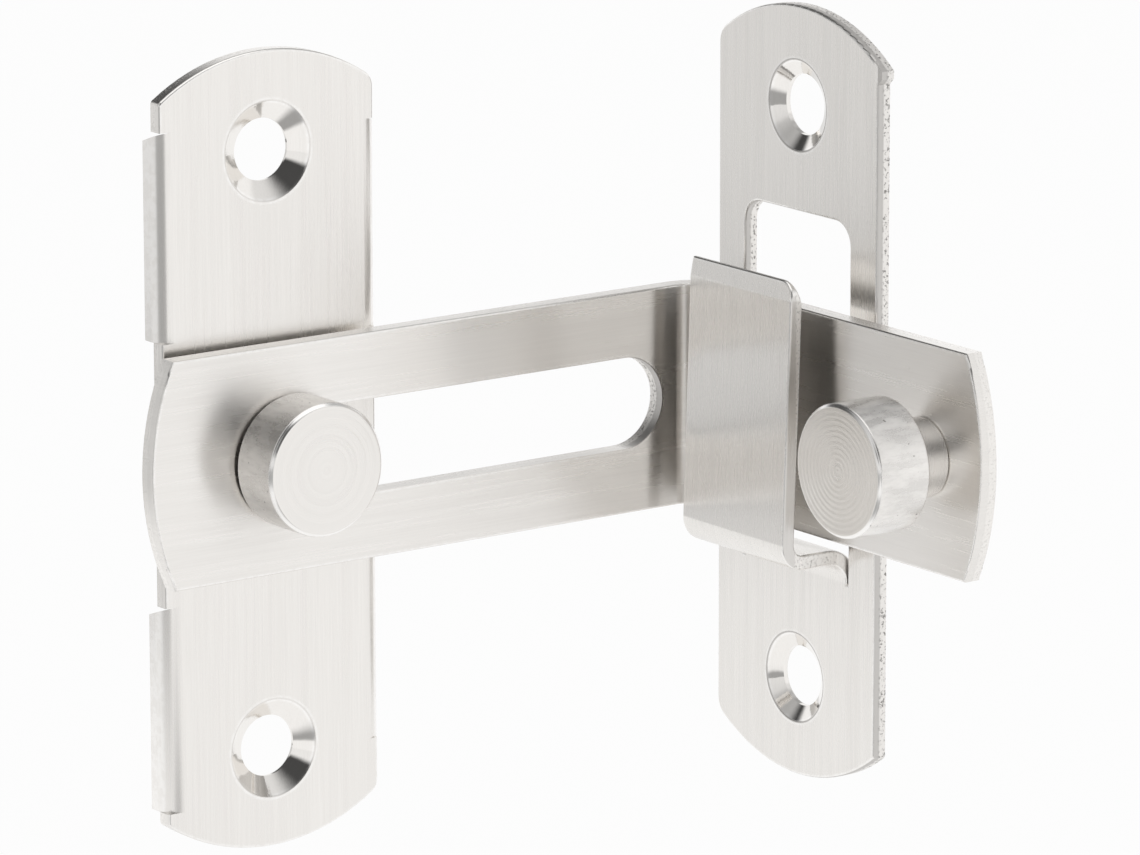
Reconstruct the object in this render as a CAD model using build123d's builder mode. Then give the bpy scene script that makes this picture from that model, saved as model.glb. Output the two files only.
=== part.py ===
"""Flip latch for an inside corner, built as five pieces.

Millimetres, Z up. The stud turns about the Y axis. The origin lies midway between the base plate's screw
holes, on the back of its sheet, so the wall is the plane y = base_standoff and the room is on its -Y side.
The bar reaches along +X into the corner, and its leg comes back towards -Y, where it drops into the hook
of the strike plate on the side wall.
"""

import os
from math import cos, degrees, hypot, pi, radians, sin, sqrt, tan

from build123d import *

# Sheet and bar stock
sheet = 1.5
bar_thickness = 2.0
edge_break = 0.3
plate_end_radius = 21.5

# Clearances
turn_clearance = 0.05
rivet_clearance = 0.02
bar_play = 0.1
latched_play = 1.0
head_play = 0.4
hook_gap = 1.6
hook_clearance = 0.45
strike_clearance = 0.35
slot_clearance = 0.3
kerf = 0.2

# Screw holes of both plates
screw_radius = 3.1
sink_angle = 114.0
base_sink_radius = 5.0
strike_sink_radius = 4.65

# Base plate, stood off the wall by lips bent back along its sides
base_width = 25.0
base_height = 80.0
base_hole_spacing = 60.0
base_standoff = 1.5
base_corner_soft = 1.6
base_corner_crisp = 0.5
lip_bend = 1.9
lip_length = 20.8
lip_slant = 1.1
lip_overlap = 1.0
left_lip_lows = (12.3, -34.8)
right_lip_lows = (11.1, -30.9)
left_lip_out = 0.0
right_lip_out = 0.7

# Latch bar
bar_height = 22.8
bar_left = 13.5
bar_bow = 2.5
leg_inner = 50.1
leg_corner = 47.5
bar_bend = 3.0
slot_end = 45.3
collar_length = 1.3
bar_back = sheet + collar_length + bar_play
bar_front = bar_back + bar_thickness

# Pivot stud
neck_radius = 4.4
head_radius = 6.65
head_rim = 0.35
stud_head_length = 6.0
collar_radius = 5.6
tail_radius = 2.45
tail_head_radius = 3.7
tail_head_length = 1.05
stud_head_back = bar_front + head_play
stud_head_face = stud_head_back + stud_head_length
slot_radius = neck_radius + slot_clearance
slot_start = slot_clearance - bar_play - latched_play

# Lift knob on the leg
knob_y = 41.1
knob_neck_radius = 4.0
knob_neck_length = 4.3
knob_head_length = 6.4
knob_tail_radius = 2.5
knob_tail_head_radius = 3.6
knob_tail_head_length = 0.6
knob_head_back = leg_inner - knob_neck_length
knob_head_face = knob_head_back - knob_head_length
leg_outer = leg_inner + bar_thickness

# Hook folded out of the strike plate, set so that the leg swings past it on both sides
hook_width = 16.6
hook_inner_bend = 1.2
fold_inner_bend = 2.2
root_overlap = 1.0
hook_overlap = 1.2
hook_tip = 2.3
hook_edge_break = 0.25
hook_near_corner = 1.9
hook_far_corner = 1.5
knee_rise = 0.4
knee_round = 1.5
hook_lean = radians(2.0)
tip_lean = radians(11.0)
hook_floor = -bar_height / 2 - hook_gap
hook_under = hook_floor - sheet
hook_shoulder = bar_height / 2 + hook_overlap
hook_top = hook_shoulder + hook_tip
hook_back = sqrt((leg_inner - hook_clearance) ** 2 - hook_shoulder**2)
tip_back = sqrt((leg_inner - hook_clearance) ** 2 - hook_top**2)
hook_bend_z = hook_floor + hook_inner_bend
hook_wall = hook_shoulder - hook_bend_z
hook_bend_x = hook_back + (hook_inner_bend - hook_wall * sin(hook_lean)) / cos(hook_lean)
strike_front = hypot(leg_outer, bar_height / 2) + strike_clearance
strike_back = strike_front + sheet

# Strike plate
strike_width = 25.8
strike_height = 79.0
strike_y = -16.1
strike_z = 1.3
strike_hole_spacing = 58.8
strike_corner_soft = 2.2
strike_corner_crisp = 0.6
ear_width = 0.6
ear_height = 0.8
window_corner = 2.4
tab_draw = 0.4
window_width = hook_width + 2 * kerf
fold_start = hook_under - fold_inner_bend
fold_middle = fold_inner_bend + 0.4 * sheet
hook_middle = hook_inner_bend + 0.4 * sheet
hook_run = (strike_front - fold_inner_bend) - hook_bend_x
tab_bends = pi / 2 * fold_middle + (pi / 2 + hook_lean) * hook_middle
tab_length = tab_bends + hook_run + hook_wall + hook_tip
window_top = fold_start + tab_length - tab_draw


def end_rise(width):
    """Height of a plate's bowed end above its side corners."""
    return plate_end_radius - sqrt(plate_end_radius**2 - (width / 2) ** 2)


# Base plate
base_half = base_width / 2
base_corner = base_height / 2 - end_rise(base_width)
lip_inner_bend = lip_bend - sheet
lip_bend_x = base_half - lip_bend
base_face = Plane.XZ.offset(sheet)

with BuildPart() as lip:
    with BuildSketch(Plane.XY):
        with BuildLine():
            Line((lip_bend_x - lip_overlap, -sheet), (lip_bend_x, -sheet))
            CenterArc((lip_bend_x, lip_inner_bend), lip_bend, -90, 90)
            Line((base_half, lip_inner_bend), (base_half, base_standoff))
            Line((base_half, base_standoff), (base_half - sheet, base_standoff))
            Line((base_half - sheet, base_standoff), (base_half - sheet, lip_inner_bend))
            CenterArc((lip_bend_x, lip_inner_bend), lip_inner_bend, -90, 90)
            Line((lip_bend_x, 0), (lip_bend_x - lip_overlap, 0))
            Line((lip_bend_x - lip_overlap, 0), (lip_bend_x - lip_overlap, -sheet))
        make_face()
    extrude(amount=lip_length)
    with BuildSketch(Plane.YZ):
        with BuildLine():
            Polyline(
                (-sheet, 0),
                (base_standoff, 0),
                (base_standoff, lip_length - lip_slant),
                (-sheet, lip_length),
                close=True,
            )
        make_face()
    extrude(amount=base_width, mode=Mode.INTERSECT)

with BuildPart() as base_plate:
    with BuildSketch(Plane.XZ) as base_outline:
        with BuildLine():
            Line((-base_half, -base_corner), (-base_half, base_corner))
            ThreePointArc((-base_half, base_corner), (0, base_height / 2), (base_half, base_corner))
            Line((base_half, base_corner), (base_half, -base_corner))
            ThreePointArc((base_half, -base_corner), (0, -base_height / 2), (-base_half, -base_corner))
        make_face()
        fillet(base_outline.vertices().sort_by(Axis.X)[:2], base_corner_crisp)
        fillet(base_outline.vertices().sort_by(Axis.X)[-2:], base_corner_soft)
    extrude(amount=sheet)
    fillet(base_plate.faces().sort_by(Axis.Y)[0].edges(), edge_break)
    with Locations(base_face):
        with Locations((0, base_hole_spacing / 2), (0, -base_hole_spacing / 2)):
            CounterSinkHole(screw_radius, base_sink_radius, counter_sink_angle=sink_angle)
        Hole(tail_radius + turn_clearance)
    for side, lip_lows, lip_out in ((-1, left_lip_lows, left_lip_out), (1, right_lip_lows, right_lip_out)):
        notch = lip_bend - lip_out
        for lip_low in lip_lows:
            with BuildSketch(base_face):
                with Locations((side * (base_half - notch / 2), lip_low + lip_length / 2)):
                    Rectangle(notch, lip_length)
            extrude(amount=-sheet, mode=Mode.SUBTRACT)
            right_lip = lip.part.moved(Location((lip_out, 0, lip_low)))
            if side > 0:
                add(right_lip)
            else:
                mirror(right_lip, about=Plane.YZ)

# Pivot stud, turned about Y: tail head, tail through the plate, collar, neck in the slot and head
with BuildPart() as pivot_stud:
    with BuildSketch(Plane.XY):
        with BuildLine():
            tail_end = turn_clearance + tail_head_length
            collar_back = -sheet - turn_clearance
            collar_front = -sheet - collar_length
            Polyline(
                (0, tail_end),
                (tail_head_radius - 2 * head_rim, tail_end),
                (tail_head_radius, tail_end - 2 * head_rim),
                (tail_head_radius, turn_clearance),
                (tail_radius, turn_clearance),
                (tail_radius, collar_back),
                (collar_radius, collar_back),
                (collar_radius, collar_front),
                (neck_radius, collar_front),
                (neck_radius, -stud_head_back),
                (head_radius - head_rim, -stud_head_back),
                (head_radius, -stud_head_back - head_rim),
                (head_radius, -stud_head_face + head_rim),
                (head_radius - head_rim, -stud_head_face),
                (0, -stud_head_face),
                close=True,
            )
        make_face()
    revolve(axis=Axis.Y)

# Latch bar: one strip bent round the corner, bowed at both ends and slotted for the stud
bar_reach = bar_left + bar_bow
leg_reach = leg_corner + bar_bow
outer_bend = bar_bend + bar_thickness
bend_x = leg_inner - bar_bend
bend_y = -bar_front - bar_bend

with BuildPart() as latch_bar:
    with BuildSketch(Plane.XY):
        with BuildLine():
            Line((-bar_reach, -bar_back), (bend_x, -bar_back))
            CenterArc((bend_x, bend_y), outer_bend, 90, -90)
            Line((leg_outer, bend_y), (leg_outer, -leg_reach))
            Line((leg_outer, -leg_reach), (leg_inner, -leg_reach))
            Line((leg_inner, -leg_reach), (leg_inner, bend_y))
            CenterArc((bend_x, bend_y), bar_bend, 0, 90)
            Line((bend_x, -bar_front), (-bar_reach, -bar_front))
            Line((-bar_reach, -bar_front), (-bar_reach, -bar_back))
        make_face()
    extrude(amount=bar_height / 2, both=True)
    with BuildSketch(Plane.XZ):
        with BuildLine():
            ThreePointArc((-bar_left, -bar_height / 2), (-bar_reach, 0), (-bar_left, bar_height / 2))
            Polyline(
                (-bar_left, bar_height / 2),
                (2 * leg_outer, bar_height / 2),
                (2 * leg_outer, -bar_height / 2),
                (-bar_left, -bar_height / 2),
            )
        make_face()
    extrude(amount=2 * leg_reach, mode=Mode.INTERSECT)
    with BuildSketch(Plane.YZ):
        with BuildLine():
            ThreePointArc((-leg_corner, -bar_height / 2), (-leg_reach, 0), (-leg_corner, bar_height / 2))
            Polyline(
                (-leg_corner, bar_height / 2),
                (leg_reach, bar_height / 2),
                (leg_reach, -bar_height / 2),
                (-leg_corner, -bar_height / 2),
            )
        make_face()
    extrude(amount=2 * leg_outer, both=True, mode=Mode.INTERSECT)
    long_edges = latch_bar.edges().filter_by(lambda e: e.length > 1.2 * bar_thickness)
    upright_edges = latch_bar.edges().filter_by(Axis.Z)
    fillet(long_edges - upright_edges, edge_break * 0.7)
    with BuildSketch(Plane.XZ):
        slot_run = slot_end - slot_radius - slot_start
        with Locations((slot_start + slot_run / 2, 0)):
            SlotCenterToCenter(slot_run, 2 * slot_radius)
    extrude(amount=bar_front + bar_bend, mode=Mode.SUBTRACT)
    with BuildSketch(Plane.YZ.offset(leg_inner)):
        with Locations((-knob_y, 0)):
            Circle(knob_tail_radius + rivet_clearance)
    extrude(amount=bar_thickness, mode=Mode.SUBTRACT)

# Lift knob, turned about X: head, neck, tail through the leg and the peened tail head behind it
with BuildPart() as lift_knob:
    with BuildSketch(Plane.XY):
        with BuildLine():
            neck_end = leg_inner - rivet_clearance
            peen_front = leg_outer + rivet_clearance
            peen_back = peen_front + knob_tail_head_length
            Polyline(
                (knob_head_face, -knob_y),
                (knob_head_face, -knob_y + head_radius - head_rim),
                (knob_head_face + head_rim, -knob_y + head_radius),
                (knob_head_back - head_rim, -knob_y + head_radius),
                (knob_head_back, -knob_y + head_radius - head_rim),
                (knob_head_back, -knob_y + knob_neck_radius),
                (neck_end, -knob_y + knob_neck_radius),
                (neck_end, -knob_y + knob_tail_radius),
                (peen_front, -knob_y + knob_tail_radius),
                (peen_front, -knob_y + knob_tail_head_radius),
                (peen_back - head_rim, -knob_y + knob_tail_head_radius),
                (peen_back, -knob_y + knob_tail_head_radius - 2 * head_rim),
                (peen_back, -knob_y),
                close=True,
            )
        make_face()
    revolve(axis=Axis((0, -knob_y, 0), (1, 0, 0)))

# Hook: the tab cut from the window, folded out level and then up, its tip leaning in and ground thin inside
bend_out = hook_inner_bend + sheet
bend_turn = 90 + degrees(hook_lean)
wall_foot_x = hook_bend_x - hook_inner_bend * cos(hook_lean)
wall_foot_z = hook_bend_z + hook_inner_bend * sin(hook_lean)
face_foot_x = hook_bend_x - bend_out * cos(hook_lean)
face_foot_z = hook_bend_z + bend_out * sin(hook_lean)
knee_z = hook_shoulder + knee_rise
knee_x = hook_back + knee_rise * tan(hook_lean) - sheet / cos(hook_lean)
tip_face_x = knee_x + (hook_top - knee_z) * tan(tip_lean)
root_low = fold_start - root_overlap
hook_far = strike_y + hook_width / 2

with BuildPart() as hook:
    with BuildSketch(Plane.XZ.offset(-hook_far)) as hook_section:
        with BuildLine():
            Line((strike_front, root_low), (strike_front, fold_start))
            CenterArc((strike_front - fold_inner_bend, fold_start), fold_inner_bend, 0, 90)
            Line((strike_front - fold_inner_bend, hook_under), (hook_bend_x, hook_under))
            CenterArc((hook_bend_x, hook_bend_z), bend_out, 270, -bend_turn)
            Line((face_foot_x, face_foot_z), (knee_x, knee_z))
            Line((knee_x, knee_z), (tip_face_x, hook_top))
            Line((tip_face_x, hook_top), (tip_back, hook_top))
            Line((tip_back, hook_top), (hook_back, hook_shoulder))
            Line((hook_back, hook_shoulder), (wall_foot_x, wall_foot_z))
            CenterArc((hook_bend_x, hook_bend_z), hook_inner_bend, 270 - bend_turn, bend_turn)
            Line((hook_bend_x, hook_floor), (strike_front - fold_inner_bend, hook_floor))
            CenterArc((strike_front - fold_inner_bend, fold_start), fold_inner_bend + sheet, 90, -90)
            Line((strike_back, fold_start), (strike_back, root_low))
            Line((strike_back, root_low), (strike_front, root_low))
        make_face()
        fillet(hook_section.vertices().sort_by_distance((knee_x, knee_z))[0], knee_round)
    extrude(amount=hook_width)
    with BuildSketch(Plane.YZ) as tab_outline:
        with Locations((strike_y, (hook_top + root_low) / 2)):
            Rectangle(hook_width, hook_top - root_low)
        tab_corners = tab_outline.vertices().group_by(Axis.Y)[-1].sort_by(Axis.X)
        fillet(tab_corners[0], hook_near_corner)
        fillet(tab_corners[1], hook_far_corner)
    extrude(amount=strike_back, mode=Mode.INTERSECT)
    side_edges = hook.faces().sort_by(Axis.Y)[0].edges() + hook.faces().sort_by(Axis.Y)[-1].edges()
    fillet(side_edges, hook_edge_break)

# Strike plate with its window, and the hook joined to the window's lower edge
strike_half = strike_width / 2
strike_corner = strike_height / 2 - end_rise(strike_width)
strike_low = strike_z - strike_corner
strike_high = strike_z + strike_corner
strike_bottom = strike_z - strike_height / 2
strike_top = strike_z + strike_height / 2
strike_near = strike_y - strike_half
strike_far = strike_y + strike_half
ear_top = strike_top - end_rise(strike_width + 2 * ear_width)
ear_root = strike_top - end_rise(strike_width - 2 * ear_width)
ear_low = ear_top - ear_height

with BuildPart() as strike_plate:
    with BuildSketch(Plane.YZ.offset(strike_front)) as strike_outline:
        with BuildLine():
            Line((strike_near, strike_low), (strike_near, strike_high))
            ThreePointArc((strike_near, strike_high), (strike_y, strike_top), (strike_far, strike_high))
            Line((strike_far, strike_high), (strike_far, strike_low))
            ThreePointArc((strike_far, strike_low), (strike_y, strike_bottom), (strike_near, strike_low))
        make_face()
        fillet(strike_outline.vertices().sort_by(Axis.X)[:2], strike_corner_crisp)
        fillet(strike_outline.vertices().sort_by(Axis.X)[-2:], strike_corner_soft)
    extrude(amount=sheet)
    with BuildSketch(Plane.YZ.offset(strike_front)) as window:
        with Locations((strike_y, (window_top + fold_start) / 2)):
            Rectangle(window_width, window_top - fold_start)
        fillet(window.vertices().sort_by(Axis.Y)[-2:], window_corner)
    extrude(amount=sheet, mode=Mode.SUBTRACT)
    fillet(strike_plate.faces().sort_by(Axis.X)[0].edges(), edge_break)
    with BuildSketch(Plane.YZ.offset(strike_front)):
        with BuildLine():
            Polyline(
                (strike_near + ear_width, ear_root),
                (strike_near - ear_width, ear_top),
                (strike_near - ear_width, ear_low),
                (strike_near, ear_low - ear_width),
                (strike_near + ear_width, ear_low),
                close=True,
            )
        make_face()
    extrude(amount=sheet)
    with Locations(Plane(origin=(strike_front, strike_y, strike_z), x_dir=(0, -1, 0), z_dir=(-1, 0, 0))):
        with Locations((0, strike_hole_spacing / 2), (0, -strike_hole_spacing / 2)):
            CounterSinkHole(screw_radius, strike_sink_radius, counter_sink_angle=sink_angle)
    add(hook.part)

os.makedirs("parts", exist_ok=True)
base_plate.part.label = "base_plate"
pivot_stud.part.label = "pivot_stud"
latch_bar.part.label = "latch_bar"
lift_knob.part.label = "lift_knob"
strike_plate.part.label = "strike_plate"
export_step(base_plate.part, "parts/base_plate.step")
export_step(pivot_stud.part, "parts/pivot_stud.step")
export_step(latch_bar.part, "parts/latch_bar.step")
export_step(lift_knob.part, "parts/lift_knob.step")
export_step(strike_plate.part, "parts/strike_plate.step")
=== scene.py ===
# %% [markdown]
# # A brushed steel flip latch
# The latch closes an inside corner: a slotted bar turns on a stud and its bent leg drops into a hook that
# was folded out of the strike plate. The solids already stand in the right place, in metres, so this lesson
# loads them as a fixed frame and spends its care on steel, turning marks, worn edges and light.

# %% Load the frame
from math import cos, pi, radians, sin

import bpy
from mathutils import Matrix, Vector


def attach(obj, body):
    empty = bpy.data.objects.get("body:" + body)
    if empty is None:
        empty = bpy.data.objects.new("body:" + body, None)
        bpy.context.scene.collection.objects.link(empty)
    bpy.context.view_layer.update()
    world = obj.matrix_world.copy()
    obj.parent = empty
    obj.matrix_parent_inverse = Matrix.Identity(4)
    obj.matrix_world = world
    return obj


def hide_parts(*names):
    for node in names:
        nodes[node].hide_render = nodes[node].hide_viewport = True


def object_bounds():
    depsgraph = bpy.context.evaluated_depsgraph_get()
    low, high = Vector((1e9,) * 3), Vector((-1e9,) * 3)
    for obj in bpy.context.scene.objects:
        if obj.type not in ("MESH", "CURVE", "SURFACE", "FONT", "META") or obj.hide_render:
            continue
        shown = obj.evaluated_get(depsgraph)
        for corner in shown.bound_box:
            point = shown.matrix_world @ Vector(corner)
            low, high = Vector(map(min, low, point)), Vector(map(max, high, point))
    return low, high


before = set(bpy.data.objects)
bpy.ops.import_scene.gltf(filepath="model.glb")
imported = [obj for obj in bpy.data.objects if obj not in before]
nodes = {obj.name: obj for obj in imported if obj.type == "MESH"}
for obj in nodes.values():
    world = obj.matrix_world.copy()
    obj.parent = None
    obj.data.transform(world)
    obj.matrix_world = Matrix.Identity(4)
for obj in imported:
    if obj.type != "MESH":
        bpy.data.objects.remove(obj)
cad_low, cad_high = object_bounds()
print("nodes:", sorted(nodes), "box:", cad_low, cad_high)

# %% [markdown]
# ## Sums on sockets
# A node tree is arithmetic on sockets, and a page of single nodes hides it. One small class wraps an output
# socket, so that `1 - mask` adds a Math node. Its `make` method adds any other node: the type, the settings
# that must come first, then the values or links of its sockets. Shaders and Geometry Nodes both use it.

# %% A wire between nodes
class Wire:
    """One output socket of a node tree. Arithmetic on it adds Math nodes."""

    def __init__(self, socket):
        self.socket = socket

    @classmethod
    def make(cls, tree, kind, settings=None, sockets=None, out=0):
        node = tree.nodes.new(kind)
        for key, value in (settings or {}).items():
            setattr(node, key, value)
        for key, value in (sockets or {}).items():
            if isinstance(value, Wire):
                tree.links.new(value.socket, node.inputs[key])
            else:
                node.inputs[key].default_value = value
        return cls(node.outputs[out]) if node.outputs else None

    def also(self, kind, settings=None, sockets=None, out=0):
        return Wire.make(self.socket.id_data, kind, settings, sockets, out)

    def sum(self, operation, *values):
        return self.also("ShaderNodeMath", {"operation": operation}, dict(enumerate(values)))

    def __add__(self, other):
        return self.sum("ADD", self, other)

    __radd__ = __add__

    def __sub__(self, other):
        return self.sum("SUBTRACT", self, other)

    def __rsub__(self, other):
        return self.sum("SUBTRACT", other, self)

    def __mul__(self, other):
        return self.sum("MULTIPLY", self, other)

    __rmul__ = __mul__

    def __truediv__(self, other):
        return self.sum("DIVIDE", self, other)

    def __rtruediv__(self, other):
        return self.sum("DIVIDE", other, self)

    def __neg__(self):
        return 0 - self

    def __abs__(self):
        return self.sum("ABSOLUTE", self)

    def least(self, other):
        return self.sum("MINIMUM", self, other)

    def most(self, other):
        return self.sum("MAXIMUM", self, other)

    def across(self, other):
        """Length of the sloping side of a right triangle."""
        return self.sum("SQRT", self * self + other * other)

    def ease(self, low, high, start=0.0, end=1.0):
        """A smooth step from start to end while this value goes from low to high."""
        limits = {"From Min": low, "From Max": high, "To Min": start, "To Max": end}
        settings = {"interpolation_type": "SMOOTHSTEP"}
        return self.also("ShaderNodeMapRange", settings, {"Value": self, **limits})

    def tint(self, colour, other):
        """A colour that goes from one to the other as this value goes from 0 to 1."""
        return self.also("ShaderNodeMix", {"data_type": "RGBA"}, {0: self, 6: colour, 7: other}, out=2)

    def stretch(self, scale):
        return self.also("ShaderNodeVectorMath", {"operation": "MULTIPLY"}, {0: self, 1: scale})

    def parts(self):
        """The three lengths of a vector."""
        split = self.also("ShaderNodeSeparateXYZ", None, {0: self})
        return [Wire(length) for length in split.socket.node.outputs]

    def noise(self, scale, detail=2.0, rough=0.5):
        """Noise on this vector, its value near 0.5."""
        sockets = {"Vector": self, "Scale": scale, "Detail": detail, "Roughness": rough}
        return self.also("ShaderNodeTexNoise", {"noise_dimensions": "3D"}, sockets)


print("wires ready")

# %% [markdown]
# ## Where a point lies on the latch
# Every finish here follows the sheet: grain runs along it, and wear follows its edges. Object coordinates
# turned to millimetres tell where a point lies, and the distance to the outline can be worked out from a
# few lengths, so no painted mask is needed and the pattern moves with the piece.

# %% Millimetre coordinates and distances to an outline
millimetre = 0.001
per_metre = 1 / millimetre
sheet_back = (0.93, 0.98)


def millimetres(tree):
    """The point on the piece as a vector, and its three lengths."""
    point = Wire.make(tree, "ShaderNodeTexCoord", out="Object")
    point = point.also("ShaderNodeMapping", None, {"Vector": point, "Scale": (per_metre,) * 3})
    return point, *point.parts()


def bowed_strip(across, along, half_width, half_length, end_radius):
    """Distance in from the edge of a strip with bowed ends."""
    past_centre = (abs(along) - (half_length - end_radius)).most(0)
    return (half_width - abs(across)).least(end_radius - across.across(past_centre))


def window_edge(across, up, half_width, low, high, corner):
    """Distance to the sides and the top of a window with rounded upper corners. Below it there is none."""
    side = abs(across) - (half_width - corner)
    top = up - (high - corner)
    edge = side.most(0).across(top.most(0)) + side.most(top).least(0) - corner
    return abs(edge) + up.ease(low - corner, low, corner, 0.0)


def around_holes(across, along, depth, spacing, radius):
    """Distance out from the rims of two countersinks on the middle line. The sheet's back has none."""
    rim = across.across(abs(along) - spacing / 2) - radius
    return rim + depth.ease(*sheet_back) * 2 * radius


print("distances ready")

# %% [markdown]
# ## Steel
# Both finishes of the latch are bare steel: a metal with a colour, a roughness and a fine relief that
# change over the surface. Relief this fine would need millions of faces, so a Bump node bends the light
# instead. The colours are shared: a paler and a deeper steel for the streaks, a bright one for worn edges
# that also paints their highlight, a grey one for drawn metal and a dark one for pits.

# %% Colours and the shader
pale_steel = (0.895, 0.872, 0.842, 1)
deep_steel = (0.855, 0.832, 0.802, 1)
# Edge steel is paler than the sheet: worn edges, with their highlight painted on as colour.
worn_edge_and_highlight_steel = (0.95, 0.935, 0.915, 1)
drawn_steel = (0.42, 0.405, 0.39, 1)
pit_steel = (0.20, 0.19, 0.18, 1)
relief_strength, relief_depth = 0.3, 0.00002
pit_depth = 4.0


def new_steel(name):
    """A new material and its shader."""
    material = bpy.data.materials.new(name)
    material.use_nodes = True
    return material, material.node_tree.nodes["Principled BSDF"]


def dress(shader, colour, rough, height):
    """Feed a metal shader with what changes over the surface."""
    relief = {"Strength": relief_strength, "Distance": relief_depth, "Height": height}
    bump = height.also("ShaderNodeBump", None, relief)
    for name, wire in (("Base Color", colour), ("Roughness", rough), ("Normal", bump)):
        shader.id_data.links.new(wire.socket, shader.inputs[name])
    shader.inputs["Metallic"].default_value = 1.0


print("steel colours ready")

# %% [markdown]
# ## Brushed stainless sheet
# The sheet was brushed with a fine abrasive belt before it was cut, so faint scratches run one way. Noise
# that is squeezed across the grain and drawn out along it gives such streaks, and the same streaks drive
# colour, roughness and a slight bump. Tumbling broke the edges, which left a smoother line with nicks, and
# the edge's highlight is painted on as a brighter colour. The press sheared the walls: a drawn band near
# the face, then a pale, pitted break behind it. The countersinks were cut last and are bright and smooth.

# %% The brushed sheet material
wall_fades = (0.03, 0.14)
rim_fades = (0.12, 0.42)
break_starts = (0.42, 0.56)
pits_start = (0.3, 0.6)
sink_starts = (-0.2, -0.05)
sink_polish = 0.2
band_scale = 0.12


def brushed_sheet(name, grain, gloss, wear):
    """Steel brushed one way. grain scales the noise, gloss is its roughness, its spread and how that lies.

    wear(x, y, z) gives the distance to the nearest edge, the depth behind the face as a share of the sheet,
    how torn the walls are and the distance to a countersink's rim, or None for a piece without one.
    """
    dull, spread, lie = gloss
    material, shader = new_steel(name)
    point, x, y, z = millimetres(material.node_tree)
    distance, depth, tear, sink = wear(x, y, z)
    hair = point.stretch(grain).noise(1.0, 3.0, 0.55)
    band = point.stretch([band_scale * scale for scale in grain]).noise(1.0, 2.0)
    cloud = point.noise(0.06, 3.0)
    streak = (hair * 0.5 + band * 0.3 + cloud * 0.2).ease(0.3, 0.7)
    nicks = point.noise(1.4, 3.0).ease(0.42, 0.62, 1.0, 0.4)
    wall = distance.ease(*wall_fades, 1.0, 0.0)
    # The rim: worn, smoother edges with nicks, whose brighter colour is a painted highlight.
    rim = distance.ease(*rim_fades, 1.0, 0.0) * (1 - wall) * nicks
    drawn = wall * (1 - depth.ease(*break_starts)) * 0.7 * tear
    pits = wall * depth.ease(*pits_start) * point.noise(3.4, 4.0, 0.7).ease(0.53, 0.62) * tear
    colour = streak.tint(deep_steel, pale_steel)
    colour = drawn.tint(rim.tint(colour, worn_edge_and_highlight_steel), drawn_steel)
    colour = pits.tint(colour, pit_steel)
    rough = dull - 0.06 * streak + 0.06 * cloud - 0.03 * rim + wall * (0.16 * tear - 0.06)
    if sink:
        rough = rough - sink.ease(*sink_starts, sink_polish, 0.0)
    dress(shader, colour, rough, hair * 0.25 + band * 0.3 - pits * pit_depth)
    shader.inputs["Anisotropic"].default_value = spread
    shader.inputs["Anisotropic Rotation"].default_value = lie
    return material


def finish_node(node, material):
    nodes[node].data.materials[0] = material
    print(node, "finished in", material.name, "with", len(material.node_tree.nodes), "nodes")


print("brushed sheet ready")

# %% [markdown]
# ## Base plate
# The base plate is a strip with bowed ends, brushed upright. Its wear follows the outline and the rims of
# the two countersunk holes. Along the lips that are bent back at its sides there is no cut wall: the face
# runs on round the bend, smooth with a few nicks, and a highlight is painted on it as a brighter colour.

# %% Finish the base plate
sheet, end_radius = 1.5, 21.5
belt_pitch, belt_run = 7.0, 0.12
upright_grain = (belt_pitch, belt_pitch, belt_run)
base_gloss = (0.26, 0.0, 0.0)
base_half_width, base_half_height = 12.5, 40.0
base_hole_spacing, base_sink = 60.0, 5.0
base_tear = 0.15
left_lips, right_lips = (22.7, -24.4), (21.5, -20.5)
lip_half_length, lip_end, lip_polish_and_highlight = 10.4, 0.1, 0.2


def on_lips(x, z):
    """1 along the lips, each given by the height of its middle, and 0 elsewhere."""
    left, right = [abs(z - upper).least(abs(z - lower)) for upper, lower in (left_lips, right_lips)]
    away = left + x.ease(-1, 1) * (right - left)
    return away.ease(lip_half_length - lip_end, lip_half_length, 1.0, 0.0)


def base_wear(x, y, z):
    outline = bowed_strip(x, z, base_half_width, base_half_height, end_radius)
    # On the lips the face round the bend takes the bright edge colour: a painted highlight with nicks.
    outline = outline.most(lip_polish_and_highlight * on_lips(x, z))
    depth = (y + sheet) / sheet
    sink = around_holes(x, z, depth, base_hole_spacing, base_sink)
    return outline.least(abs(sink)), depth, base_tear, sink


base_steel = brushed_sheet("base_plate_steel", upright_grain, base_gloss, base_wear)
finish_node("base_plate", base_steel)

# %% [markdown]
# ## Strike plate and hook
# The strike plate is the same sheet, turned to face along the bar. Its hook was folded out of the window,
# so the belt marks run on up the hook, and the sheared walls of window and hook show the same two bands.
# Light spreads across the belt marks, which the shader calls anisotropic gloss.

# %% Finish the strike plate
strike_gloss = (0.27, 0.6, 0.0)
strike_face, hook_face = 53.68, 46.5
strike_y, strike_z = -16.1, 1.3
strike_half_width, strike_half_height = 12.9, 39.5
strike_hole_spacing, strike_sink = 58.8, 4.65
window_low, window_high = -16.7, 20.0
window_half_width, window_corner = 8.5, 2.4
hook_half_width, hook_top = 8.3, 14.9
hook_ends, plate_starts = 52.4, 52.6
plate_tear, hook_tear = 0.9, 0.5


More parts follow.
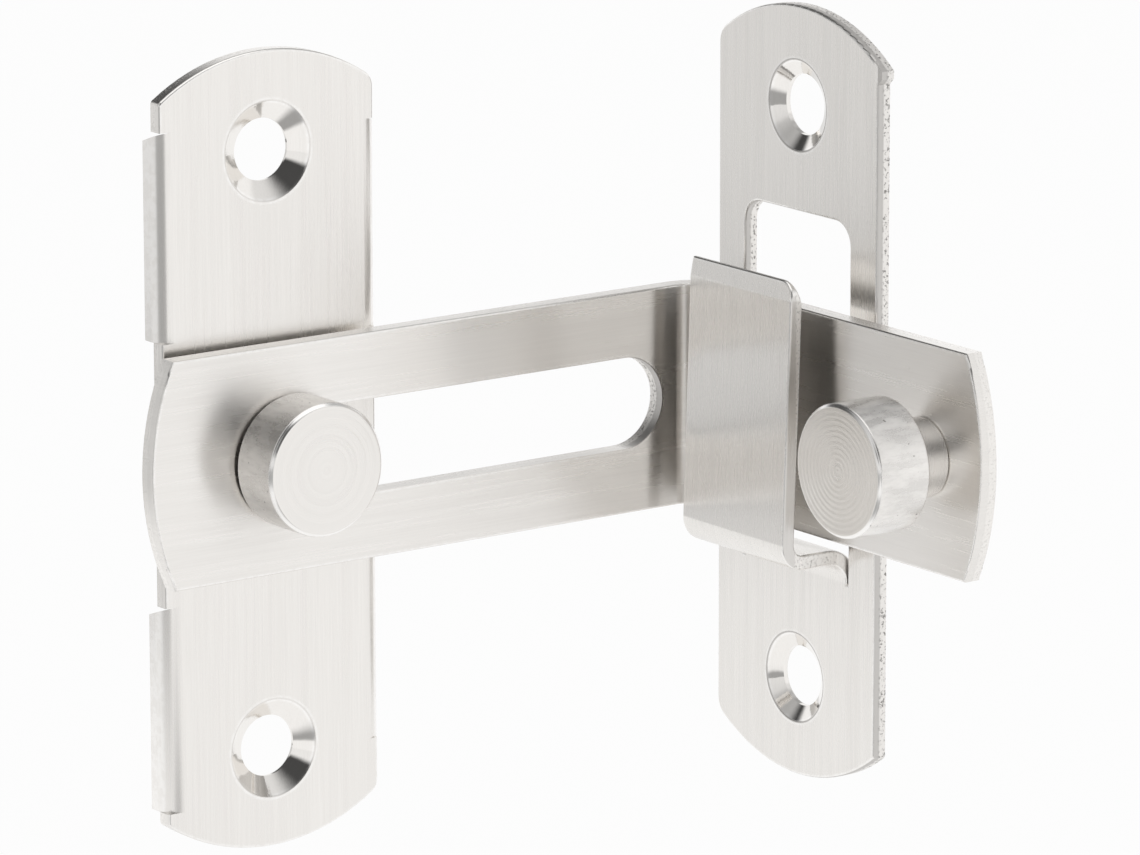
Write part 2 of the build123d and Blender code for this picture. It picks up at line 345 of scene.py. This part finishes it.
def strike_wear(x, y, z):
    side = y - strike_y
    up = z - strike_z
    outline = bowed_strip(side, up, strike_half_width, strike_half_height, end_radius)
    on_hook = x.ease(hook_ends, plate_starts, 1.0, 0.0)
    depth = (x - (strike_face - on_hook * (strike_face - hook_face))) / sheet
    sink = around_holes(side, up, depth, strike_hole_spacing, strike_sink)
    window = window_edge(side, z, window_half_width, window_low, window_high, window_corner)
    plate = outline.least(abs(sink)).least(window)
    hook = (hook_half_width - abs(side)).least(hook_top - z)
    tear = plate_tear + on_hook * (hook_tear - plate_tear)
    return plate + on_hook * (hook - plate), depth, tear, sink


strike_steel = brushed_sheet("strike_plate_steel", upright_grain, strike_gloss, strike_wear)
finish_node("strike_plate", strike_steel)

# %% [markdown]
# ## Latch bar
# The bar is thicker strip, brushed along its length. After it was bent the grain turns the corner with it,
# so the streaks are fine only across the height. Its edges are worn, and the wall at the slot's right end,
# where the punch came out last, is torn and grey.

# %% Finish the latch bar
lengthwise_grain = (belt_run, belt_run, belt_pitch)
bar_gloss = (0.29, 0.85, 0.25)
bar_thickness = 2.0
bar_front, leg_inner = -4.9, 50.1
bar_half_height, bar_end_radius = 11.4, 27.24
bar_left, leg_end = -16.0, -50.0
slot_left, slot_right, slot_radius = -0.8, 40.6, 4.7
slot_wall_fades, slot_end_starts = (0.2, 0.4), 2.0
bar_tear, slot_tear = 0.15, 1.0


def bar_wear(x, y, z):
    tall = bar_half_height - abs(z)
    left = bar_end_radius - ((bar_left + bar_end_radius) - x).most(0).across(z)
    end = bar_end_radius - ((leg_end + bar_end_radius) - y).most(0).across(z)
    along_slot = x - x.most(slot_left).least(slot_right)
    slot = abs(along_slot.across(z) - slot_radius)
    depth = (x - leg_inner).most(y - bar_front) / bar_thickness
    slot_end = x.ease(slot_right, slot_right + slot_end_starts)
    slot_end = slot.ease(*slot_wall_fades, 1.0, 0.0) * slot_end
    tear = bar_tear + slot_end * (slot_tear - bar_tear)
    return tall.least(left).least(end).least(slot), depth, tear, None


bar_steel = brushed_sheet("latch_bar_steel", lengthwise_grain, bar_gloss, bar_wear)
finish_node("latch_bar", bar_steel)

# %% [markdown]
# ## Turned steel
# The stud and the lift knob came off a lathe. The tool leaves rings on the faces, and handling leaves faint
# scratches along the sides with a few small pits. The rings depend on the distance from the axis, and the
# scratches on noise that is drawn out along it.

# %% The turned material
tool_pitch = 0.16
knob_y = -41.1
head_radius = 6.65
side_starts = (head_radius - 0.12, head_radius - 0.04)
# A thin line on the head's rim is painted brighter as its highlight, and how far that fades.
rim_highlight_radius, rim_highlight_fades = head_radius - 0.17, (0.05, 0.2)
turned_dull = 0.25
ring_scale = 2.6
scratch_pitch, scratch_run = 2.6, 0.16


def turned_steel(name, axis):
    """Turned steel about the stud's axis (Y) or the lift knob's (X)."""
    material, shader = new_steel(name)
    point, x, y, z = millimetres(material.node_tree)
    if axis == "Y":
        radius, along = x.across(z), y
        lengthwise = (scratch_pitch, scratch_run, scratch_pitch)
    else:
        radius, along = (y - knob_y).across(z), x
        lengthwise = (scratch_run, scratch_pitch, scratch_pitch)
    lathe = along.also("ShaderNodeCombineXYZ", None, {"X": radius, "Y": along, "Z": 0.0})
    rings = lathe.noise(ring_scale, 3.0, 0.6)
    bands = lathe.noise(0.7, 2.0)
    scratch = point.stretch(lengthwise).noise(1.0, 3.0, 0.6)
    smears = point.stretch([0.3 + 0.25 * scale for scale in lengthwise])
    blotch = smears.noise(1.0, 4.0, 0.65).ease(0.35, 0.65)
    cloud = point.noise(0.14, 3.0)
    on_side = radius.ease(*side_starts)
    streak = (rings * 0.45 + bands * 0.3 + cloud * 0.25).ease(0.3, 0.7)
    streak = streak + on_side * ((scratch * 0.35 + cloud * 0.65).ease(0.35, 0.65) - streak)
    # The painted highlight: a bright ring on the head's rim cut.
    rim = abs(radius - rim_highlight_radius).ease(*rim_highlight_fades, 1.0, 0.0)
    pits = point.noise(1.3, 1.0).ease(0.75, 0.78) * on_side
    colour = rim.tint(streak.tint(deep_steel, pale_steel), worn_edge_and_highlight_steel)
    colour = (on_side * (1 - blotch) * (1 - rim) * 0.35).tint(colour, drawn_steel)
    colour = (pits * 0.7).tint(colour, pit_steel)
    rough = turned_dull - 0.06 * streak + 0.08 * cloud - 0.04 * rim + on_side * 0.1 * blotch
    turning = radius.sum("SINE", radius * (2 * pi / tool_pitch)) * (1 - on_side)
    height = turning * 0.3 + rings * 0.25 + bands * 0.2 + scratch * on_side * 0.35
    dress(shader, colour, rough, height - pits * pit_depth)
    return material


stud_steel = turned_steel("stud_steel", "Y")
knob_steel = turned_steel("knob_steel", "X")
print("turned steel:", stud_steel.name, knob_steel.name)

# %% [markdown]
# ## A lathe
# A turned piece is one outline spun about its axis, which is a rule, so Geometry Nodes spins it. The
# outline is a chain of edges: its corners are rounded, it is cut into short steps, and a flat grid with one
# row for each step is rolled up into a tube whose radius follows the outline. Shallow rings on the face are
# what the lathe's tool leaves. Spin or a Screw modifier could do it too, but neither rounds the corners.

# %% The lathe tree
lathe_sizes = {
    "Rim Round": "NodeSocketFloat",
    "Step": "NodeSocketFloat",
    "Sides": "NodeSocketInt",
    "Face": "NodeSocketFloat",
    "Ring Pitch": "NodeSocketFloat",
    "Ring Depth": "NodeSocketFloat",
    "Turn": "NodeSocketRotation",
    "Seat": "NodeSocketVector",
    "Steel": "NodeSocketMaterial",
}
rim_steps = 5
face_tolerance = 0.000001
merge_distance = 0.0000002


def cut_outline(outline, given):
    """The outline as a curve with rounded corners, cut into short steps."""
    outline = outline.also("GeometryNodeMeshToCurve", None, {"Mesh": outline})
    rounding = {"Curve": outline, "Count": rim_steps, "Radius": given("Rim Round"), "Limit Radius": True}
    outline = outline.also("GeometryNodeFilletCurve", {"mode": "POLY"}, rounding)
    steps = {"Curve": outline, "Length": given("Step")}
    return outline.also("GeometryNodeResampleCurve", {"mode": "LENGTH"}, steps)


def roll_up(outline, given):
    """A grid with a row for each step of the outline, rolled up about Y."""
    size = {"component": "CURVE"}
    rows = outline.also("GeometryNodeAttributeDomainSize", size, {"Geometry": outline}, out="Point Count")
    columns = given("Sides") + 1
    grid = rows.also("GeometryNodeMeshGrid", None, {"Vertices X": rows, "Vertices Y": columns})
    index = grid.also("GeometryNodeInputIndex")
    row = index.sum("FLOOR", (index + 0.5) / columns)
    angle = (index - row * columns) * (2 * pi) / given("Sides")
    sample = {"Geometry": outline, "Value": grid.also("GeometryNodeInputPosition"), "Index": row}
    place = outline.also("GeometryNodeSampleIndex", {"data_type": "FLOAT_VECTOR"}, sample)
    radius, along, _ = place.parts()
    on_face = along.sum("LESS_THAN", along - given("Face"), face_tolerance)
    ring = along.sum("COSINE", radius * (2 * pi) / given("Ring Pitch"))
    along = along + on_face * (0.5 - 0.5 * ring) * given("Ring Depth")
    spun = {"X": radius * angle.sum("COSINE", angle), "Y": along, "Z": radius * angle.sum("SINE", angle)}
    spun = along.also("ShaderNodeCombineXYZ", None, spun)
    return grid.also("GeometryNodeSetPosition", None, {"Geometry": grid, "Position": spun})


def lathe_tree():
    tree = bpy.data.node_groups.new("lathe", "GeometryNodeTree")
    tree.is_modifier = True
    tree.interface.new_socket("Outline", in_out="INPUT", socket_type="NodeSocketGeometry")
    tree.interface.new_socket("Turned", in_out="OUTPUT", socket_type="NodeSocketGeometry")
    for name, kind in lathe_sizes.items():
        tree.interface.new_socket(name, in_out="INPUT", socket_type=kind)

    def given(name):
        return Wire.make(tree, "NodeGroupInput", out=name)

    tube = roll_up(cut_outline(given("Outline"), given), given)
    seat = {"Geometry": tube, "Translation": given("Seat"), "Rotation": given("Turn")}
    tube = tube.also("GeometryNodeTransform", None, seat)
    tube = tube.also("GeometryNodeMergeByDistance", None, {"Geometry": tube, "Distance": merge_distance})
    tube = tube.also("GeometryNodeSetShadeSmooth", None, {"Geometry": tube})
    tube = tube.also("GeometryNodeRealizeInstances", None, {"Geometry": tube})
    tube = tube.also("GeometryNodeSetMaterial", None, {"Geometry": tube, "Material": given("Steel")})
    tube.also("NodeGroupOutput", None, {"Turned": tube})
    return tree


lathe = lathe_tree()
print("lathe tree with", len(lathe.nodes), "nodes")

# %% [markdown]
# ## Turning a piece
# Each turned piece is a row of cylinders along one axis. A cylinder gives four corners of the outline, with
# its two rims cut back, and the tree does the rest. Its result becomes a plain mesh that rides on a body.

# %% Outline and turning
ring_pitch, ring_depth = 0.55, 0.01
rim_round = 0.16
outline_step, lathe_sides = 0.06, 96


def outline_of(cylinders):
    """Corners (radius, along) of cylinders given as (radius, start, end, front cut, back cut)."""
    corners = [(0.0, cylinders[0][1])]
    for radius, start, end, front_cut, back_cut in cylinders:
        corners += [(radius - front_cut, start), (radius, start + front_cut)]
        corners += [(radius, end - back_cut), (radius - back_cut, end)]
    corners.append((0.0, cylinders[-1][2]))
    return list(dict.fromkeys(corners))


def turn_piece(name, cylinders, turn, seat, steel, body, node):
    """Spin the cylinders, turn and seat the result, and let it ride on a body in place of a node."""
    chain = bpy.data.meshes.new(name + "_outline")
    places = [(radius * millimetre, along * millimetre, 0) for radius, along in outline_of(cylinders)]
    chain.from_pydata(places, [(i, i + 1) for i in range(len(places) - 1)], [])
    piece = bpy.data.objects.new(name, chain)
    bpy.context.scene.collection.objects.link(piece)
    sizes = {
        "Rim Round": rim_round * millimetre,
        "Step": outline_step * millimetre,
        "Sides": lathe_sides,
        "Face": cylinders[0][1] * millimetre,
        "Ring Pitch": ring_pitch * millimetre,
        "Ring Depth": ring_depth * millimetre,
        "Turn": turn,
        "Seat": [length * millimetre for length in seat],
        "Steel": steel,
    }
    spin = piece.modifiers.new("lathe", "NODES")
    spin.node_group = lathe
    for item in lathe.interface.items_tree:
        if item.name in sizes:
            spin[item.identifier] = sizes[item.name]
    evaluated = piece.evaluated_get(bpy.context.evaluated_depsgraph_get())
    turned = bpy.data.meshes.new_from_object(evaluated)
    piece.modifiers.remove(spin)
    piece.data = turned
    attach(piece, body)
    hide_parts(node)
    print(name, "turned with", len(turned.polygons), "faces on", body)


print("lathe set to", lathe_sides, "sides")

# %% [markdown]
# ## Pivot stud
# The stud's big head holds the bar on, its neck runs in the slot, a collar keeps the bar off the plate, and
# its tail is headed over behind the plate. The head's rim has a fine cut that catches light, and a bright
# highlight line is painted on it as well.

# %% Turn the stud
head_cut = 0.35
stud_cylinders = [
    (head_radius, -11.3, -5.3, head_cut, head_cut),
    (4.4, -5.3, -2.8, 0, 0),
    (5.6, -2.8, -1.55, 0, 0),
    (2.45, -1.55, 0.05, 0, 0),
    (3.7, 0.05, 1.1, 0, 2 * head_cut),
]
turn_piece("stud", stud_cylinders, (0, 0, 0), (0, 0, 0), stud_steel, "stud", "pivot_stud")

# %% [markdown]
# ## Lift knob
# The knob is the same head on a shorter neck, riveted through the leg. Its outline is drawn along the same
# axis as the stud's and then turned a quarter, so that it looks along the bar.

# %% Turn the lift knob
knob_cylinders = [
    (head_radius, 39.4, 45.8, head_cut, head_cut),
    (4.0, 45.8, 50.08, 0, 0),
    (2.5, 50.08, 52.12, 0, 0),
    (3.6, 52.12, 52.72, 0, head_cut),
]
turn_piece("knob", knob_cylinders, (0, 0, -pi / 2), (0, knob_y, 0), knob_steel, "bar", "lift_knob")

# %% [markdown]
# ## Floor
# The latch stands over a wide sheet of white paper. One flat square is enough for it, and it lies lower
# than the bar reaches when it swings down, so that no pose dips into it.

# %% Floor
floor_half = 3.0
floor_level = -cad_high.x - millimetre
sides = ((-1, -1), (1, -1), (1, 1), (-1, 1))
floor_corners = [(x * floor_half, y * floor_half, floor_level) for x, y in sides]
floor_mesh = bpy.data.meshes.new("floor")
floor_mesh.from_pydata(floor_corners, [], [(0, 1, 2, 3)])
floor = bpy.data.objects.new("floor", floor_mesh)
bpy.context.scene.collection.objects.link(floor)
print("floor at", floor_level)

# %% [markdown]
# ## White paper
# A white floor alone would go grey at its far end, so the paper is plain white where the camera looks at
# it, and a little matt white keeps the object's shadow. Steel shows what lies round it, so in reflections
# the paper is greyer towards the left, where the sheet of such a studio ends, though less so behind. Two
# soft painted shadows darken it there, one for the plates far behind and one for the latch close in front.

# %% The paper material
black, pure_white = (0, 0, 0, 1), (1, 1, 1, 1)
matt_white = (0.9, 0.9, 0.9, 1)
paper_edge, paper_near = (-0.01, 0.03), (0.1, 0.2)
edge_grey, grey_lost_behind = 0.6, 0.4
# Centres, fade distances and depths of the two painted shadows.
painted_far_shadow, far_fades, far_depth = (-0.12, 0.207), (0.02, 0.06), 0.6
painted_near_shadow, near_fades, near_depth = (-0.02, -0.07), (0.015, 0.045), 0.6
plain_share = 0.93


def rays(tree):
    """1 for each kind of ray: from the camera, off a shiny surface and through a clear one."""
    kinds = ("Is Camera Ray", "Is Glossy Ray", "Is Transmission Ray")
    return [Wire.make(tree, "ShaderNodeLightPath", out=kind) for kind in kinds]


def painted_round_shadow(east, north, centre, fades, depth):
    """A soft round painted shadow, which fades out between two distances from its centre."""
    return (east - centre[0]).across(north - centre[1]).ease(*fades, depth, 0.0)


paper = bpy.data.materials.new("white_paper")
paper.use_nodes = True
tree = paper.node_tree
tree.nodes.clear()
east, north, _ = Wire.make(tree, "ShaderNodeTexCoord", out="Object").parts()
paper_ends = (0.6 * north - 0.8 * east).ease(*paper_edge) * east.across(north).ease(*paper_near)
behind = north.ease(-0.05, 0.05)
mirrored = 1 - paper_ends * (edge_grey - grey_lost_behind * behind)
# Two painted shadows darken the paper as the steel sees it.
mirrored = mirrored - painted_round_shadow(east, north, painted_far_shadow, far_fades, far_depth)
mirrored = mirrored * (1 - painted_round_shadow(east, north, painted_near_shadow, near_fades, near_depth))
seen, glossy, through = rays(tree)
glow = (1 - glossy * (1 - mirrored)).tint(black, pure_white)
white = glow.also("ShaderNodeEmission", None, {"Color": glow, "Strength": 1.0})
matt = glow.also("ShaderNodeBsdfDiffuse", None, {"Color": matt_white})
plain = (seen * plain_share).most(glossy).most(through)
mixed = plain.also("ShaderNodeMixShader", None, {0: plain, 1: matt, 2: white})
mixed.also("ShaderNodeOutputMaterial", None, {"Surface": mixed})
floor_mesh.materials.append(paper)
print(paper.name, "with", len(tree.nodes), "nodes")

# %% [markdown]
# ## White studio
# Round the paper stand white walls, a little greyer at the left, then comes a dark gap between them and the
# lamps overhead. That gap gives steel its contrast: it draws the dark side of a knob and the dark wedge in
# a countersink. It reaches lowest at the front left. It is weaker at the right, at the left behind, and
# most of all where the big window of light stands.

# %% World
wall_top, lamps_start = (0.28, 0.42), (0.74, 0.9)
right_rise, front_drop = 0.14, 0.12
gap_depth, gap_among_lamps = 0.93, 0.3
left_lost, right_lost, window_lost = 0.8, 0.35, 0.7
wall_grey, wall_grey_behind = 0.15, 0.3
lighting = 0.7

world = bpy.data.worlds.new("white_studio")
bpy.context.scene.world = world
world.use_nodes = True
tree = world.node_tree
backdrop = tree.nodes["Background"]
east, north, height = Wire.make(tree, "ShaderNodeTexCoord", out="Generated").parts()
behind = north.ease(-0.3, 0.3)
front_left = (-north).ease(0.3, 0.7) * (-east).ease(-0.1, 0.15)
left_side = (-east).ease(0.45, 0.7) * (1 - front_left)
right_side = east.ease(0.1, 0.5)
window_side = (0.7 * east - 0.7 * north).ease(0.5, 0.78)
gap = (height - right_rise * right_side + front_drop * front_left).ease(*wall_top)
gap = gap * height.ease(*lamps_start, 1.0, gap_among_lamps)
gap = gap * (1 - left_lost * left_side) * (1 - right_lost * right_side) * (1 - window_lost * window_side)
left_wall = (-east).ease(0.2, 0.8)
mirrored = (1 - left_wall * (wall_grey + wall_grey_behind * behind)) * (1 - gap_depth * gap)
seen, glossy, through = rays(tree)
shown = seen.most(through)
strength = lighting + (1 - lighting) * shown + glossy * (mirrored - lighting)
backdrop.inputs["Color"].default_value = pure_white
tree.links.new(strength.socket, backdrop.inputs["Strength"])
print(world.name, "with", len(tree.nodes), "nodes")

# %% [markdown]
# ## Soft box
# One large soft box hangs overhead. It is about as dull as the ceiling that the steel reflects, so it
# leaves no hot spot, and it lays a soft shadow on the paper.

# %% Lamp
middle = (cad_low + cad_high) / 2
box_place, box_size, box_watts = Vector((0.1, -0.2, 1.0)), 1.0, 1.6
lamp = bpy.data.lights.new("overhead_box", "AREA")
lamp.shape = "SQUARE"
lamp.size = box_size
lamp.energy = box_watts
box = bpy.data.objects.new("overhead_box", lamp)
box.location = box_place
box.rotation_euler = (box_place - middle).to_track_quat("Z", "Y").to_euler()
box.visible_camera = False
bpy.context.scene.collection.objects.link(box)
print(box.name, "at", box_place, "with", box_watts, "W")

# %% [markdown]
# ## Camera
# The camera stands to the left of the latch and a little above it, far away behind a long lens, so the
# plates hardly taper. Its angles, its distance and its lens were fitted to the picture, where the focal
# length and the small shift are measured in pixels.

# %% Camera
azimuth, elevation, roll = radians(-36.123), radians(12.963), radians(-0.094)
camera_away = 0.777822
aim_right, aim_up = 0.037496, -0.002732
image_wide, focal_pixels = 1140, 7713.245
shift_right, shift_down = 1.105, -1.403
nearest, farthest = 0.01, 20.0
back = Vector((sin(azimuth) * cos(elevation), -cos(azimuth) * cos(elevation), sin(elevation)))
level = Vector((cos(azimuth), sin(azimuth), 0))
rise = back.cross(level)
right = cos(roll) * level + sin(roll) * rise
up = cos(roll) * rise - sin(roll) * level
aim = Vector((aim_right, 0, 0)) + up * aim_up
lens = bpy.data.cameras.new("camera")
lens.sensor_fit = "HORIZONTAL"
lens.sensor_width = 36.0
lens.lens = lens.sensor_width * focal_pixels / image_wide
lens.shift_x = -shift_right / image_wide
lens.shift_y = shift_down / image_wide
lens.clip_start = nearest
lens.clip_end = farthest
camera = bpy.data.objects.new("camera", lens)
camera.matrix_world = Matrix((right, up, back)).transposed().to_4x4()
camera.location = aim + back * camera_away
bpy.context.scene.collection.objects.link(camera)
bpy.context.scene.camera = camera
bpy.context.scene.view_settings.view_transform = "Standard"
print("camera at", camera.location, "lens", lens.lens)
